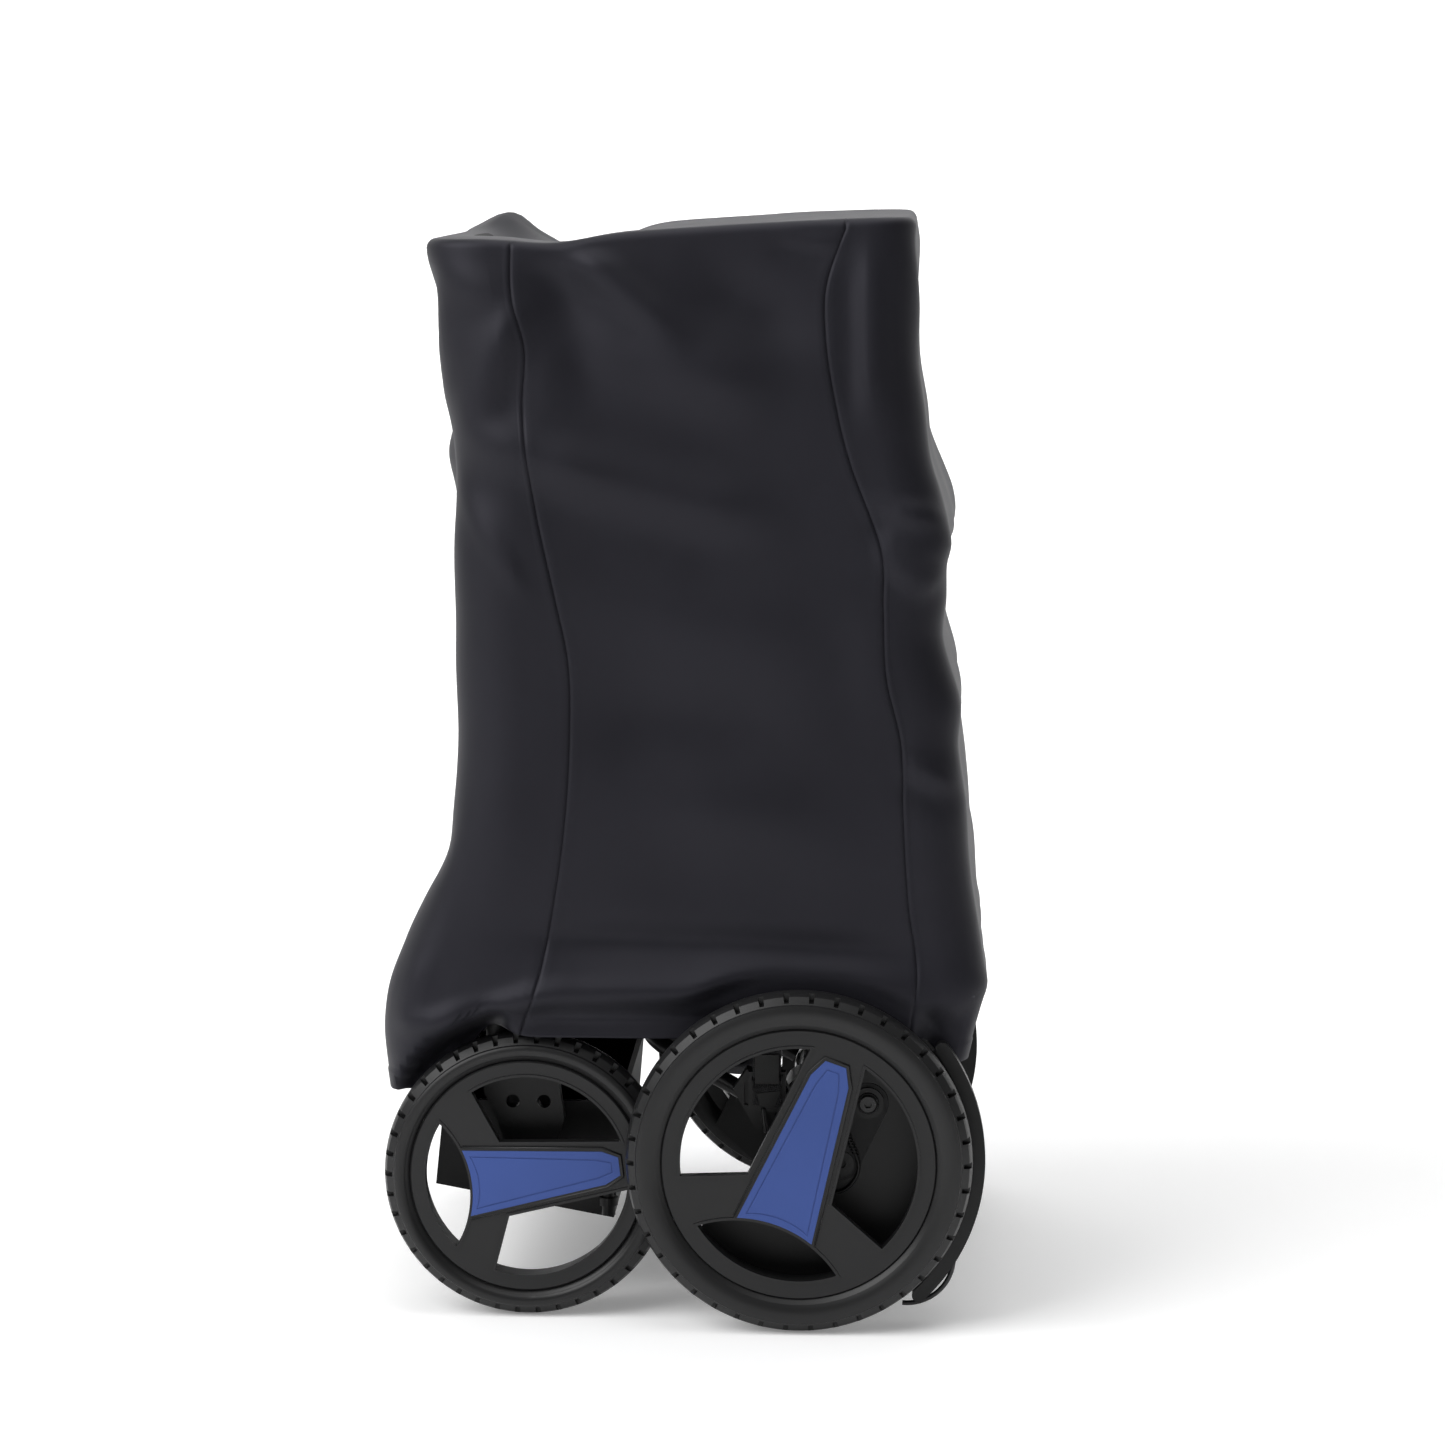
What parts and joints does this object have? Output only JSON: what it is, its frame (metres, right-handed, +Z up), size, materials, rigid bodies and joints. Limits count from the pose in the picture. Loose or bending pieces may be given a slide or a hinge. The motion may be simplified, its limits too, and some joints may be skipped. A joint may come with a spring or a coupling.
{
  "type": "pet stroller",
  "caption": "Folded pet stroller standing on spoked wheels under a loose fabric travel cover, with a folding frame, handle, canopy and brake.",
  "frame": {"origin": "middle of the footprint at floor level", "axes": "+X towards the stroller's rear (larger wheels), -Y its left side, +Z up"},
  "size_m": [0.5348, 0.5822, 0.97],
  "materials": {
    "tyre": "satin",
    "wheel_plastic": "fine moulded texture",
    "accent_blue": "satin",
    "steel": "zinc plated",
    "frame_paint": "satin black powder coat",
    "black_plastic": "fine moulded texture",
    "grip_foam": "closed-cell foam",
    "cabin_fabric": "woven polyester",
    "webbing": "ribbed webbing",
    "label_cloth": "woven patch",
    "cover_fabric": "matte laminated cloth"
  },
  "bodies": {
    "rear_frame": {"rear_axle": "steel", "axle_tube": "frame_paint", "guard_left": "black_plastic", "guard_right": "black_plastic", "guard_screw_left": "frame_paint", "guard_screw_right": "frame_paint", "tie_wire_left": "frame_paint", "tie_wire_right": "frame_paint", "rear_hub_left": "black_plastic", "rear_hub_right": "black_plastic", "rear_leg_left": "frame_paint", "rear_leg_right": "frame_paint", "hinge_knob_left": "black_plastic", "hinge_knob_right": "black_plastic", "cabin_hoop": "frame_paint", "basket_frame": "frame_paint", "storage_basket": "cabin_fabric", "cabin_shell": "cabin_fabric", "cabin_floor": "black_plastic", "cushion": "cabin_fabric", "strap": "webbing", "strap_label": "label_cloth", "buckle": "black_plastic", "strap_bracket": "black_plastic"},
    "front_frame": {"front_hub_left": "black_plastic", "front_hub_right": "black_plastic", "front_leg_left": "frame_paint", "front_leg_right": "frame_paint", "stem_housing_left": "black_plastic", "stem_housing_right": "black_plastic", "front_cross_tube": "frame_paint", "footrest_tray": "black_plastic"},
    "handle": {"handle_hub_left": "black_plastic", "handle_hub_right": "black_plastic", "handle_tube": "frame_paint", "handle_grip": "grip_foam"},
    "canopy": {"canopy_bow": "frame_paint", "canopy_cloth": "cabin_fabric"},
    "brake": {"brake_pedal": "black_plastic"},
    "cover": {"cover_side_left": "cover_fabric", "cover_side_right": "cover_fabric", "cover_front": "cover_fabric", "cover_back": "cover_fabric", "cover_top": "cover_fabric"},
    "caster_left": {"caster_fork_left": "black_plastic", "stub_axle_left": "steel"},
    "rear_wheel_left": {"rear_tyre_left": "tyre", "rear_rim_left": "wheel_plastic", "rear_panel_left": "accent_blue"},
    "front_wheel_left": {"front_tyre_left": "tyre", "front_rim_left": "wheel_plastic", "front_panel_left": "accent_blue"},
    "caster_right": {"caster_fork_right": "black_plastic", "stub_axle_right": "steel"},
    "rear_wheel_right": {"rear_tyre_right": "tyre", "rear_rim_right": "wheel_plastic", "rear_panel_right": "accent_blue"},
    "front_wheel_right": {"front_tyre_right": "tyre", "front_rim_right": "wheel_plastic", "front_panel_right": "accent_blue"}
  },
  "joints": [
    {"name": "cover_lift", "type": "slide", "parent": "rear_frame", "child": "cover", "axis": [0, 0, 1], "range_m": [0, 1.5]},
    {"name": "front_fold", "type": "hinge", "parent": "rear_frame", "child": "front_frame", "pos_m": [0.192, 0, 0.69], "axis": [0, 1, 0], "range_deg": [0, 25]},
    {"name": "handle_fold", "type": "hinge", "parent": "rear_frame", "child": "handle", "pos_m": [0.192, 0, 0.69], "axis": [0, 1, 0], "range_deg": [0, 95]},
    {"name": "canopy_tilt", "type": "hinge", "parent": "rear_frame", "child": "canopy", "pos_m": [0.15, 0, 0.912], "axis": [0, 1, 0], "range_deg": [0, 40]},
    {"name": "caster_left_swivel", "type": "hinge", "parent": "front_frame", "child": "caster_left", "pos_m": [-0.168, -0.1885, 0.24], "axis": [0, 0, 1], "range_deg": [-1.5, 15]},
    {"name": "caster_right_swivel", "type": "hinge", "parent": "front_frame", "child": "caster_right", "pos_m": [-0.168, 0.1885, 0.24], "axis": [0, 0, -1], "range_deg": [-1.5, 15]},
    {"name": "brake_press", "type": "hinge", "parent": "rear_frame", "child": "brake", "pos_m": [0.1, 0, 0.152], "axis": [0, 1, 0], "range_deg": [-18, 0]},
    {"name": "rear_left_spin", "type": "hinge", "parent": "rear_frame", "child": "rear_wheel_left", "pos_m": [0.1, -0.27, 0.152], "axis": [0, 1, 0], "continuous": true},
    {"name": "rear_right_spin", "type": "hinge", "parent": "rear_frame", "child": "rear_wheel_right", "pos_m": [0.1, 0.27, 0.152], "axis": [0, 1, 0], "continuous": true},
    {"name": "front_left_spin", "type": "hinge", "parent": "caster_left", "child": "front_wheel_left", "pos_m": [-0.142, -0.224, 0.128], "axis": [0, 1, 0], "continuous": true},
    {"name": "front_right_spin", "type": "hinge", "parent": "caster_right", "child": "front_wheel_right", "pos_m": [-0.142, 0.224, 0.128], "axis": [0, 1, 0], "continuous": true}
  ],
  "couplings": [
    {"joint": "front_fold", "follows": "cover_lift", "rad_per_m": 0.29086},
    {"joint": "handle_fold", "follows": "cover_lift", "rad_per_m": 1.1053},
    {"joint": "canopy_tilt", "follows": "cover_lift", "rad_per_m": 0.46537}
  ]
}
